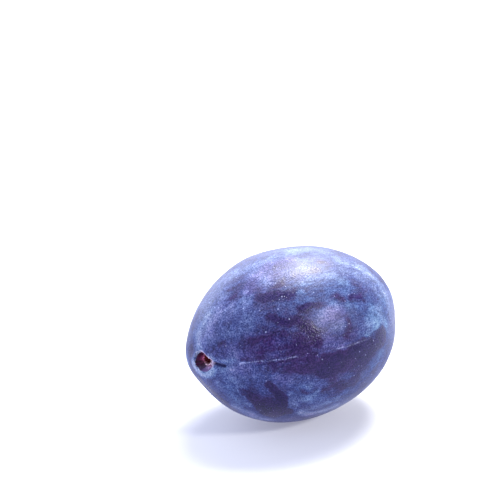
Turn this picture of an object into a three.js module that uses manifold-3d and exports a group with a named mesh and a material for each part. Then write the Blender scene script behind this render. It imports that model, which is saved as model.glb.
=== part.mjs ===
// A ripe blue plum with its stalk pulled out, lying on its side on a small flat spot.
//
// Millimetres, +Z up. The long axis lies along X, stalk end at -X and tip at +X, and the seam
// that runs from the stalk socket to the tip faces -Y. The flat spot is in the plane Z = 0.
//
// A place on the skin is given by two angles: `down`, measured from the stalk end (0) to the
// tip (180 degrees), and `round`, measured about the long axis from the top (+Z) over the seam
// side (-Y) to the underside (180 degrees).

import * as THREE from 'three';
import { mergeVertices } from 'three/addons/utils/BufferGeometryUtils.js';
import Module from 'manifold-3d';

const { degToRad, smoothstep } = THREE.MathUtils;

// Overall size
const HALF_LENGTH = 25.5;
const HALF_THICKNESS = 18.8;
const END_TAPER = 0.06; // both ends are this much slimmer than those of an ellipse
const FLAT_DEPTH = 0.3; // how far the underside is pressed in where the fruit lies

// A plum is never quite an oval: broad swellings (+) and hollows (-) of the flesh.
const SWELLINGS = [
  { name: 'shoulder behind the socket', down: 30, round: 250, spread: 17, height: 0.9 },
  { name: 'hollow under the socket', down: 30, round: 210, spread: 17, height: -0.3 },
  { name: 'upper back shoulder', down: 45, round: 290, spread: 20, height: 0.2 },
  { name: 'full cheek above the tip', down: 140, round: 40, spread: 20, height: 0.4 },
  { name: 'hollow beside the tip', down: 140, round: 80, spread: 17, height: -0.3 },
  { name: 'lower front hollow', down: 95, round: 140, spread: 23, height: -0.4 },
  { name: 'top hollow', down: 95, round: 340, spread: 20, height: -0.4 },
  { name: 'top back swelling', down: 80, round: 325, spread: 20, height: 0.3 },
];

// Stalk socket: its section from the bottom of the pit out to the lip, as the distance from
// the socket's middle, measured across it, and the depth below the skin around it
const SOCKET_SECTION = [
  { radius: 0.0, depth: 3.1 }, // bottom of the pit that the stalk's core left
  { radius: 0.7, depth: 2.9 },
  { radius: 0.92, depth: 1.8 },
  { radius: 1.2, depth: 1.55 }, // crest of the torn ring
  { radius: 1.5, depth: 1.75 },
  { radius: 1.8, depth: 1.3 }, // socket wall
  { radius: 2.05, depth: 0.6 },
  { radius: 2.2, depth: 0.1 },
  { radius: 2.4, depth: -0.12 }, // crest of the lip
  { radius: 2.8, depth: -0.08 },
];
const SOCKET_OUTER = 3.3; // the skin is back on the plain oval here
const SOCKET_STRETCH = 1.3; // how much longer the socket is than it is wide
const SOCKET_LONG_WAY = 74; // the way its long side points, in degrees round
const SOCKET_SEAMWARD = -0.78; // how far its middle is from the long axis, towards the seam...
const SOCKET_UPWARD = -0.4; // ...and towards the top
const STRAIGHT_SIDE = 0.21; // how much less it reaches out where its edge is straight...
const STRAIGHT_SIDE_WAY = 29; // ...this many degrees round...
const STRAIGHT_SIDE_SPREAD = 0.5;
const PIT_SEAMWARD = -0.35; // how far the pit is from the socket's middle, towards the seam
const PIT_BLEND = [0.9, 2.1]; // distances over which the round pit turns into the drawn-out lip
const SOCKET_BLEND = 7; // this far from the long axis the socket no longer moves the skin

// Seam: a shallow valley that deepens at both ends, and a short slot beside the socket
const SEAM_AT = 82; // degrees round
const SEAM_HOOK = 10; // further degrees round that it bends away to near the socket...
const SEAM_HOOK_AT = 12; // ...this many degrees down...
const SEAM_HOOK_REACH = 9; // ...and over this many degrees to either side of that
const SEAM_HALF_WIDTH = 1.3;
const SEAM_SIDE = 0.6; // cosine of the angle from the seam inside which its valley is whole
const SEAM_DEPTH = 0.12;
const SEAM_END_DEPTH = 0.22; // added at each end
const SEAM_END_REACH = 16; // degrees over which it is added
const SLOT_HALF_WIDTH = 0.34;
const SLOT_DEPTH = 0.7;
const SLOT_START = 2.1; // distances from the long axis
const SLOT_END = 5.3;
const SLOT_FADE = 0.4;

// Tip: a small pit where the flower's style dried off
const TIP_PIT_RADIUS = 0.9;
const TIP_PIT_DEPTH = 0.4;

// Mesh
const AROUND = 64;
const BODY_RINGS = 38;
const SEAM_CROWDING = 0.7; // facets are crowded towards the seam...
const END_CROWDING = 0.7; // ...and rings towards both ends

const NOT_MOVED = 1e-6;

const SKIN = { color: 0x34386b, roughness: 0.55, metalness: 0 };

const TURN = 2 * Math.PI;
const ORIGIN = new THREE.Vector2();
const bell = (distance, width) => Math.exp(-((distance / width) ** 2));

// Counts evenly from 0 to 1, but in shorter steps towards both ends.
function crowdEnds(fraction, crowding) {
  return fraction - (crowding * Math.sin(TURN * fraction)) / TURN;
}

function ovalPoint(down) {
  const taper = 1 - END_TAPER * Math.cos(down) ** 2;
  return new THREE.Vector2(HALF_THICKNESS * Math.sin(down) * taper, -HALF_LENGTH * Math.cos(down));
}

// The angle down from the stalk end at which the oval is `radius` from the long axis.
function downAtRadius(radius) {
  return Math.asin(radius / (HALF_THICKNESS * (1 - END_TAPER)));
}

function stalkEndSkin(radius) {
  return ovalPoint(downAtRadius(radius)).y;
}

function downAt(radius, along) {
  return Math.atan2(radius / HALF_THICKNESS, -along / HALF_LENGTH);
}

function seamRound(down) {
  const fromHook = down - degToRad(SEAM_HOOK_AT);
  return degToRad(SEAM_AT + SEAM_HOOK * bell(fromHook, degToRad(SEAM_HOOK_REACH)));
}

// Half the fruit's lengthwise section: x is the distance from the axis, y the place along it.
function lengthwiseSection() {
  const points = SOCKET_SECTION.map(({ radius, depth }) => {
    return new THREE.Vector2(radius, stalkEndSkin(radius) + depth);
  });
  const start = downAtRadius(SOCKET_OUTER);
  for (let ring = 0; ring < BODY_RINGS; ring += 1) {
    const down = start + (Math.PI - start) * crowdEnds(ring / BODY_RINGS, END_CROWDING);
    const point = ovalPoint(down);
    point.y -= down > Math.PI / 2 ? TIP_PIT_DEPTH * bell(point.x, TIP_PIT_RADIUS) : 0;
    points.push(point);
  }
  points.push(new THREE.Vector2(0, HALF_LENGTH - TIP_PIT_DEPTH));
  return points;
}

// How far the skin is sunk at this place by the seam's valley and by its slot.
function seamSink(radius, down, fromSeam) {
  const sideways = radius * Math.sin(fromSeam);
  const onSeamSide = smoothstep(Math.cos(fromSeam), 0, SEAM_SIDE);
  const fromNearerEnd = Math.min(down, Math.PI - down);
  const depth = SEAM_DEPTH + SEAM_END_DEPTH * bell(fromNearerEnd, degToRad(SEAM_END_REACH));
  const pastSocket = smoothstep(radius, SLOT_START, SLOT_START + SLOT_FADE);
  const valley = depth * pastSocket * bell(sideways, SEAM_HALF_WIDTH);
  const alongSlot = pastSocket * (1 - smoothstep(radius, SLOT_END - SLOT_FADE, SLOT_END));
  const slot = down < Math.PI / 2 ? SLOT_DEPTH * alongSlot * bell(sideways, SLOT_HALF_WIDTH) : 0;
  return onSeamSide * (valley + slot);
}

function swell(direction) {
  return SWELLINGS.reduce((total, { down, round, spread, height }) => {
    const middle = skinDirection(degToRad(down), degToRad(round));
    return total + height * bell(direction.angleTo(middle), degToRad(spread));
  }, 0);
}

function skinDirection(down, round) {
  const outward = Math.sin(down);
  return new THREE.Vector3(-Math.cos(down), -outward * Math.sin(round), outward * Math.cos(round));
}

// Seen from the stalk end, where a point of the lathed body lies once the socket is pulled
// out of round and off the long axis: x towards the top, y towards the seam side.
function endView(radius, along, round) {
  const share = along < 0 ? 1 - smoothstep(radius, SOCKET_OUTER, SOCKET_BLEND) : 0;
  const longWay = degToRad(SOCKET_LONG_WAY);
  const outOfPit = smoothstep(radius, ...PIT_BLEND);
  const fromStraightSide = 2 * Math.sin((round - degToRad(STRAIGHT_SIDE_WAY)) / 2);
  const straightened = STRAIGHT_SIDE * share * outOfPit * bell(fromStraightSide, STRAIGHT_SIDE_SPREAD);
  const reach = radius * (1 - straightened);
  const point = new THREE.Vector2(reach * Math.cos(round - longWay), reach * Math.sin(round - longWay));
  point.x *= 1 + (SOCKET_STRETCH - 1) * share;
  point.rotateAround(ORIGIN, longWay);
  point.add(new THREE.Vector2(SOCKET_UPWARD, SOCKET_SEAMWARD).multiplyScalar(share));
  point.y += along < 0 ? PIT_SEAMWARD * (1 - outOfPit) : 0;
  return point;
}

// Turns a point of the round lathed body into the real, uneven fruit.
function shapeFlesh(radius, along, fromSeam) {
  const seam = seamRound(downAt(radius, along));
  const { x: up, y: seamward } = endView(radius, along, seam + fromSeam);
  const spread = Math.hypot(up, seamward);
  const moved = Math.abs(spread - radius) > NOT_MOVED;
  const shifted = moved ? along + stalkEndSkin(spread) - stalkEndSkin(radius) : along;
  const down = downAt(spread, shifted);
  const round = Math.atan2(seamward, up);
  const direction = skinDirection(down, round);
  const place = new THREE.Vector3(shifted, -seamward, up);
  return place.addScaledVector(direction, swell(direction) - seamSink(spread, down, round - seam));
}

function fruitGeometry() {
  const geometry = new THREE.LatheGeometry(lengthwiseSection(), AROUND);
  const position = geometry.getAttribute('position');
  const uv = geometry.getAttribute('uv');
  for (let i = 0; i < position.count; i += 1) {
    const radius = Math.hypot(position.getX(i), position.getZ(i));
    const fromSeam = TURN * crowdEnds(uv.getX(i) % 1, SEAM_CROWDING);
    const place = shapeFlesh(radius, position.getY(i), fromSeam);
    position.setXYZ(i, place.x, place.y, place.z);
  }
  return geometry;
}

const wasm = await Module();
wasm.setup();

function toSolid(geometry) {
  geometry.deleteAttribute('normal');
  geometry.deleteAttribute('uv');
  const merged = mergeVertices(geometry);
  return new wasm.Manifold(new wasm.Mesh({
    numProp: 3,
    vertProperties: new Float32Array(merged.getAttribute('position').array),
    triVerts: new Uint32Array(merged.getIndex().array),
  }));
}

function toGeometry(solid) {
  const mesh = solid.getMesh();
  const geometry = new THREE.BufferGeometry();
  geometry.setAttribute('position', new THREE.BufferAttribute(mesh.vertProperties, 3));
  geometry.setIndex(new THREE.BufferAttribute(mesh.triVerts, 1));
  geometry.computeVertexNormals();
  return geometry;
}

// Presses the flat spot into the underside.
function flattenUnderside(fruit) {
  const block = new THREE.BoxGeometry(HALF_LENGTH, HALF_LENGTH, HALF_LENGTH);
  block.translate(0, 0, -HALF_LENGTH / 2 - restHeight);
  return fruit.subtract(toSolid(block));
}

const restHeight = HALF_THICKNESS - FLAT_DEPTH; // the long axis is this high when it lies
const fruit = new THREE.Mesh(
  toGeometry(flattenUnderside(toSolid(fruitGeometry()))),
  new THREE.MeshStandardMaterial(SKIN),
);
fruit.name = 'plum_fruit';
fruit.position.z = restHeight;

const plum = new THREE.Group();
plum.add(fruit);

export default plum;
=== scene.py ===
"""The looks of a ripe blue plum that lies on its side with its stalk pulled out.

The fruit is one piece. Its skin is modelled as a dense mesh from the same shape as the CAD solid,
with the socket, the seam and its slot, and the tip's pit as real relief. The bloom, which is the
pale wax that a plum grows on its skin, is laid on by nodes, and listed marks say where it lies
thickest and where it is gone; some of these marks also paint highlight, reflection and shade into
the skin's colour. The slot and the seam's crease are darkened with painted shade, and the torn
flesh is painted lighter on one side and darker on the other.

A place on the skin is given by two angles in degrees: down, from the stalk end (0) to the tip
(180), and round, from the top (0) over the seam side (near 90) and the underside (180) to the back
(270). A negative angle round is on the back as well, just beyond the top.
Shapes are worked out in millimetres and turned to metres when a mesh is made.
"""

import math
from functools import partial

import bpy
import numpy as np
from mathutils import Matrix, Vector, noise


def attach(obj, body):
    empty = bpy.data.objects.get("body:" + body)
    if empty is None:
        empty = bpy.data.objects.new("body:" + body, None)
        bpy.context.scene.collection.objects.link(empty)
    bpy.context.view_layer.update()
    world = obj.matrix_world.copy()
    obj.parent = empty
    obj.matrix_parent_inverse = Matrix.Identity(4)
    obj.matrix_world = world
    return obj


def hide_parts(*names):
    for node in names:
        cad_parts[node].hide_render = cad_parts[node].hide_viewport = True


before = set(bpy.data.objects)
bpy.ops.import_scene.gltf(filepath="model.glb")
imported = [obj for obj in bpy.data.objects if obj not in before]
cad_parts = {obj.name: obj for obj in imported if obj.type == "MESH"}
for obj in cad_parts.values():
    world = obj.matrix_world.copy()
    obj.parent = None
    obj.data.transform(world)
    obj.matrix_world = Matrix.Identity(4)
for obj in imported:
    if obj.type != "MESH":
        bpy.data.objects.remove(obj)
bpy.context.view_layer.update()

MM = 0.001
TURN = 2 * math.pi

# The plain oval of the fruit, as in the CAD solid
HALF_LENGTH = 25.5
HALF_THICKNESS = 18.8
END_TAPER = 0.06  # both ends are this much slimmer than those of an ellipse
FLAT_DEPTH = 0.3  # how far the underside is pressed in where the fruit lies...
FLAT_EDGE = 0.1  # ...and how softly the pressed spot begins
REST_HEIGHT = HALF_THICKNESS - FLAT_DEPTH

# Broad swellings (+) and hollows (-): down, round, spread in degrees, height
SWELLINGS = (
    (30, 250, 17, 0.9), (30, 210, 17, -0.3), (45, 290, 20, 0.2), (80, 325, 20, 0.3),
    (95, 140, 23, -0.4), (95, 340, 20, -0.4), (140, 40, 20, 0.4), (140, 80, 17, -0.3),
)

# Stalk socket, from the bottom of its pit out to its lip: distance from its middle, depth
SOCKET_SECTION = (
    (0.0, 3.1), (0.7, 2.9), (0.92, 1.8), (1.2, 1.55), (1.5, 1.75), (1.8, 1.3),
    (2.05, 0.6), (2.2, 0.1), (2.4, -0.12), (2.8, -0.08), (3.3, 0.0),
)
SOCKET_STRETCH = 1.3  # how much longer the socket is than it is wide
SOCKET_LONG_WAY = 74  # the way its long side points, in degrees round
SOCKET_SEAMWARD = -0.78  # how far its middle is from the long axis, towards the seam...
SOCKET_UPWARD = -0.4  # ...and towards the top
STRAIGHT_SIDE = 0.21  # how much less it reaches out where its edge is straight...
STRAIGHT_SIDE_WAY = 29  # ...this many degrees round...
STRAIGHT_SIDE_SPREAD = 0.5  # ...and this far to either side, in radians
PIT_SEAMWARD = -0.35  # how far the pit is from the socket's middle, towards the seam
PIT_BLEND = (0.9, 2.1)  # distances over which the round pit turns into the drawn-out lip
SOCKET_BLEND = 7  # this far from the long axis the socket no longer moves the skin

# Torn flesh in the socket and the skin around it, by distance from the socket's middle
TORN_EDGE = 2.2  # the flesh is bare inside this...
SKIN_CURL = 0.22  # ...but the skin curls this much further in...
SKIN_CURL_WAY = 308  # ...this many degrees round...
SKIN_CURL_SPREAD = 0.7  # ...and this far to either side, in radians
TORN_FADE = 0.5  # width over which the flesh's unevenness fades out beyond the torn edge
PIT_SMOOTH = 0.4  # the bottom of the pit is smooth, up to here
FIBRES = 4.5  # how tightly the torn fibres are packed around the socket
FIBRE_LENGTH = 1.1
FIBRE_HEIGHT = 0.12
CUT_EDGE = 2.34  # the pale edge of the torn skin
CUT_EDGE_HALF_WIDTH = 0.15
HALO_WIDE = 4.2  # the bloom that nobody could rub off ends here where it is widest...
HALO_NARROW = 2.9  # ...and here on the other side...
HALO_LEAST = 0.6  # ...where it is this much weaker
HALO_ON_CURL_PAINTED_LIGHT = 1.5  # it is this much stronger where the skin curls in, partly as painted light that lightens the curl's shade
HALO_FADE = 1.1

# Sides of the socket: the way each faces, in degrees round, and the cosines of the angles from
# there at which it begins and is whole
# The torn flesh is painted paler, as a highlight, on the side facing this way, where its ring and wall
# face up to the light
PAINTED_LIT_FIBRE_SIDE = (140, -0.1, 0.7)
CUT_EDGE_SIDE = (45, 0.2, 0.8)
WIDE_HALO_SIDE = (190, -0.3, 0.6)

# Seam: a shallow valley that deepens at both ends, and a short slot beside the socket
SEAM_AT = 82  # degrees round
SEAM_HOOK = 10  # further degrees round that it bends away to near the socket...
SEAM_HOOK_AT = 12  # ...this many degrees down...
SEAM_HOOK_REACH = 9  # ...and over this many degrees to either side of that
SEAM_HALF_WIDTH = 1.3
SEAM_SIDE = 0.6  # cosine of the angle from the seam inside which its valley is whole
SEAM_DEPTH = 0.12
SEAM_END_DEPTH = 0.22  # added at each end...
SEAM_END_REACH = 16  # ...over this many degrees
SLOT_HALF_WIDTH = 0.34
SLOT_DEPTH = 0.7
SLOT_START = 2.1  # distances from the long axis
SLOT_END = 5.3
SLOT_FADE = 0.4

# Tip: a small pit where the flower's style dried off
TIP_PIT_RADIUS = 0.9
TIP_PIT_DEPTH = 0.4

# Mesh: vertices around the fruit, rings in each step of the socket's section, rings of the body,
# and how much closer together they lie by the seam and at both ends
AROUND = 400
SOCKET_STEPS = 4
BODY_RINGS = 185
SEAM_CROWDING = 0.7
END_CROWDING = 0.6

# Small unevenness, as pairs of the size of its lumps and their height
SKIN_WAVES = ((5.0, 0.07), (1.7, 0.02))
TORN_LUMPS = ((0.8, 0.35), (0.3, 0.16))


def bell(distance, width):
    return np.exp(-((distance / width) ** 2))


def smooth_step(value, start, end):
    share = np.clip((value - start) / (end - start), 0, 1)
    return share * share * (3 - 2 * share)


def crowd_ends(fraction, crowding):
    """Counts evenly from 0 to 1, but in shorter steps towards both ends."""
    return fraction - crowding * np.sin(TURN * fraction) / TURN


# -------------------- the shape of the fruit


def oval_radius(down):
    """How far the plain oval's skin is from the long axis."""
    return HALF_THICKNESS * np.sin(down) * (1 - END_TAPER * np.cos(down) ** 2)


def stalk_end_skin(radius):
    """The place along the fruit of the plain oval's skin, this far from the long axis."""
    return -HALF_LENGTH * np.sqrt(1 - (radius / (HALF_THICKNESS * (1 - END_TAPER))) ** 2)


def down_at(radius, along):
    """The angle down of a point this far from the long axis and this far along it."""
    return np.arctan2(radius / HALF_THICKNESS, -along / HALF_LENGTH)


def skin_direction(down, round_):
    """The direction of a place on the skin from the fruit's middle, in the oval's own measure."""
    outward = np.sin(down)
    return np.stack([-np.cos(down), -outward * np.sin(round_), outward * np.cos(round_)], -1)


def seam_round(down):
    from_hook = down - math.radians(SEAM_HOOK_AT)
    return np.radians(SEAM_AT + SEAM_HOOK * bell(from_hook, math.radians(SEAM_HOOK_REACH)))


def swell(direction):
    """How far the flesh stands out (+) or in (-) of the plain oval in each direction."""
    total = np.zeros(direction.shape[:-1])
    for down, round_, spread, height in SWELLINGS:
        middle = skin_direction(math.radians(down), math.radians(round_))
        angle = np.arccos(np.clip(direction @ middle, -1, 1))
        total += height * bell(angle, math.radians(spread))
    return total


def facing(round_, way, begins, whole):
    """How far places at these angles round lie on the side that faces one way, from 0 to 1."""
    return smooth_step(np.cos(round_ - math.radians(way)), begins, whole)


def angle_from(round_, way):
    """The angle, as the length of its chord, between angles round and one way in degrees."""
    return 2 * np.sin((round_ - math.radians(way)) / 2)


def past_socket(radius):
    return smooth_step(radius, SLOT_START, SLOT_START + SLOT_FADE)


def in_slot(radius, down, from_seam):
    """How far into the slot beside the socket a place is, from 0 to 1."""
    along_slot = past_socket(radius) * (1 - smooth_step(radius, SLOT_END - SLOT_FADE, SLOT_END))
    share = along_slot * bell(radius * np.sin(from_seam), SLOT_HALF_WIDTH)
    return np.where((down < math.pi / 2) & (np.cos(from_seam) > 0), share, 0)


def seam_sink(radius, down, from_seam):
    """How far the skin is sunk by the seam's valley and by its slot beside the socket."""
    on_seam_side = smooth_step(np.cos(from_seam), 0, SEAM_SIDE)
    from_nearer_end = np.minimum(down, math.pi - down)
    depth = SEAM_DEPTH + SEAM_END_DEPTH * bell(from_nearer_end, math.radians(SEAM_END_REACH))
    valley = depth * past_socket(radius) * bell(radius * np.sin(from_seam), SEAM_HALF_WIDTH)
    return on_seam_side * (valley + SLOT_DEPTH * in_slot(radius, down, from_seam))


def end_view(radius, along, round_):
    """Seen from the stalk end, where a point lies once the socket is pulled out of round and
    off the long axis: distances towards the top and towards the seam side."""
    share = np.where(along < 0, 1 - smooth_step(radius, SOCKET_SECTION[-1][0], SOCKET_BLEND), 0)
    long_way = math.radians(SOCKET_LONG_WAY)
    out_of_pit = smooth_step(radius, *PIT_BLEND)
    on_straight_side = bell(angle_from(round_, STRAIGHT_SIDE_WAY), STRAIGHT_SIDE_SPREAD)
    reach = radius * (1 - STRAIGHT_SIDE * share * out_of_pit * on_straight_side)
    lengthwise = reach * np.cos(round_ - long_way) * (1 + (SOCKET_STRETCH - 1) * share)
    crosswise = reach * np.sin(round_ - long_way)
    up = lengthwise * math.cos(long_way) - crosswise * math.sin(long_way)
    seamward = lengthwise * math.sin(long_way) + crosswise * math.cos(long_way)
    pit = np.where(along < 0, PIT_SEAMWARD * (1 - out_of_pit), 0)
    return up + SOCKET_UPWARD * share, seamward + SOCKET_SEAMWARD * share + pit


def skin_place(down, round_):
    """A place on the skin without its seam, in millimetres from the fruit's middle."""
    radius = oval_radius(down)
    along = -HALF_LENGTH * np.cos(down)
    place = np.stack([along, -radius * np.sin(round_), radius * np.cos(round_)], -1)
    direction = skin_direction(down, round_)
    return place + direction * swell(direction)[..., None]


def smooth_section(points, steps):
    """Points on a smooth curve (Catmull-Rom) through the given ones, without the last."""
    padded = np.array([points[0], *points, points[-1]])
    curve = []
    for before, start, end, after in zip(padded, padded[1:], padded[2:], padded[3:]):
        for share in np.arange(steps) / steps:
            bend = 2 * before - 5 * start + 4 * end - after
            twist = 3 * (start - end) + after - before
            curve.append(start + share / 2 * (end - before + share * (bend + share * twist)))
    return np.array(curve)


def lengthwise_section():
    """Half of the fruit's lengthwise section: distances from the long axis, places along it."""
    socket_radius, depth = smooth_section(SOCKET_SECTION, SOCKET_STEPS).T
    socket_along = stalk_end_skin(socket_radius) + depth
    start = math.asin(SOCKET_SECTION[-1][0] / (HALF_THICKNESS * (1 - END_TAPER)))
    down = start + (math.pi - start) * crowd_ends(np.arange(BODY_RINGS) / BODY_RINGS, END_CROWDING)
    body_radius = oval_radius(down)
    tip_pit = np.where(down > math.pi / 2, TIP_PIT_DEPTH * bell(body_radius, TIP_PIT_RADIUS), 0)
    body_along = -HALF_LENGTH * np.cos(down) - tip_pit
    return np.concatenate([socket_radius, body_radius]), np.concatenate([socket_along, body_along])


def roughen(places, lumps):
    """Noise for each place, made of lumps of each of these sizes and heights."""
    flat = places.reshape(-1, 3)
    heights = [
        height * np.array([noise.noise(Vector(place) / size) for place in flat])
        for size, height in lumps
    ]
    return sum(heights).reshape(places.shape[:-1])


def fruit_rings():
    """The vertices of every ring, in millimetres from the fruit's middle, their directions from
    there, and what the marks and materials need to know about each."""
    radius, along = lengthwise_section()
    from_seam = TURN * crowd_ends(np.arange(AROUND) / AROUND, SEAM_CROWDING)
    radius, from_seam = np.meshgrid(radius, from_seam, indexing="ij")
    along = np.repeat(along[:, None], AROUND, axis=1)

    round_ = seam_round(down_at(radius, along)) + from_seam
    up, seamward = end_view(radius, along, round_)
    spread = np.hypot(up, seamward)
    near = np.minimum(np.stack([spread, radius]), 2 * SOCKET_BLEND)
    shifted = along + stalk_end_skin(near[0]) - stalk_end_skin(near[1])

    down = down_at(spread, shifted)
    seam_angle = np.arctan2(seamward, up) - (round_ - from_seam)
    direction = skin_direction(down, np.arctan2(seamward, up))
    height = swell(direction) - seam_sink(spread, down, seam_angle)
    places = np.stack([shifted, -seamward, up], -1) + direction * height[..., None]

    curl = bell(angle_from(round_, SKIN_CURL_WAY), SKIN_CURL_SPREAD)
    halo_side = facing(round_, *WIDE_HALO_SIDE)
    halo_end = HALO_NARROW + halo_side * (HALO_WIDE - HALO_NARROW)
    halo = 1 - smooth_step(radius, halo_end - HALO_FADE, halo_end)
    halo *= np.maximum(HALO_LEAST + (1 - HALO_LEAST) * halo_side, HALO_ON_CURL_PAINTED_LIGHT * curl)
    cut_edge = bell(radius - CUT_EDGE, CUT_EDGE_HALF_WIDTH) * facing(round_, *CUT_EDGE_SIDE)
    facts = {
        "down": np.degrees(down),
        "socket_radius": np.where(along < 0, radius, HALF_LENGTH),
        "torn_edge": TORN_EDGE - SKIN_CURL * curl,
        "from_seam": spread * np.sin(seam_angle) * np.sign(np.cos(seam_angle)),
        "seam_side": smooth_step(np.cos(seam_angle), 0, SEAM_SIDE),
        "slot": in_slot(spread, down, seam_angle),
        "painted_lit_fibre_side": facing(round_, *PAINTED_LIT_FIBRE_SIDE),
        "fibres": fibre_pattern(np.minimum(radius, SOCKET_SECTION[-1][0]), round_),
        "cut_edge": cut_edge * (along < 0),
        "halo": halo * (along < 0),
    }
    return places, direction, facts


def fibre_pattern(radius, way):
    """From about -1 to 1, in fine streaks that run out from the socket's middle."""
    spokes = np.stack([FIBRES * np.cos(way), FIBRES * np.sin(way), radius / FIBRE_LENGTH], -1)
    pattern = [noise.noise(Vector(spoke)) for spoke in spokes.reshape(-1, 3)]
    return np.array(pattern).reshape(radius.shape)


def weather(places, direction, facts):
    """The small unevenness that a grown and picked fruit has: a faint waviness of the skin, and
    ragged flesh where the stalk tore out."""
    places = places + direction * roughen(places, SKIN_WAVES)[..., None]
    rings = int(np.searchsorted(facts["socket_radius"][:, 0], SOCKET_SECTION[-1][0]))
    radius = facts["socket_radius"][:rings]
    torn = 1 - smooth_step(radius, TORN_EDGE, TORN_EDGE + TORN_FADE)
    uneven = roughen(places[:rings], TORN_LUMPS) + FIBRE_HEIGHT * facts["fibres"][:rings]
    places[:rings, :, 0] += torn * uneven * smooth_step(radius, 0, PIT_SMOOTH)
    return places


def press_flat(places):
    """Presses the underside in where the fruit lies, with a rounded edge, and puts the fruit on
    the ground."""
    height = places[..., 2] + REST_HEIGHT
    places = places.copy()
    places[..., 2] = (height + np.sqrt(height ** 2 + FLAT_EDGE ** 2)) / 2
    return places


# -------------------- marks in the bloom
#
# A mark is a chain of dabs along some places on the skin, each (down, round), with a half width
# in millimetres at its first and at its last place, the width over which its edge fades, and how
# strong it is. Where marks overlap, the strongest counts. They are listed by region, each from the
# stalk end to the tip; the cheek lies between the top and the seam, and the belly below the seam.
# The names call the highest part of the fruit its crown, the wave before it the brow, the lit
# middle of the cheek the glow, and the thick bloom by the tip the patch.
# Some marks also paint highlight, reflection and shade into the bloom; each is noted where it stands.

DABS_PER_PLACE = 4
# Swirls that give a mark an uneven outline: their size, and how far they move it
SWIRLS = ((2.6, 0.6), (0.8, 0.35))
SWIRL_SEED = 4
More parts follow.
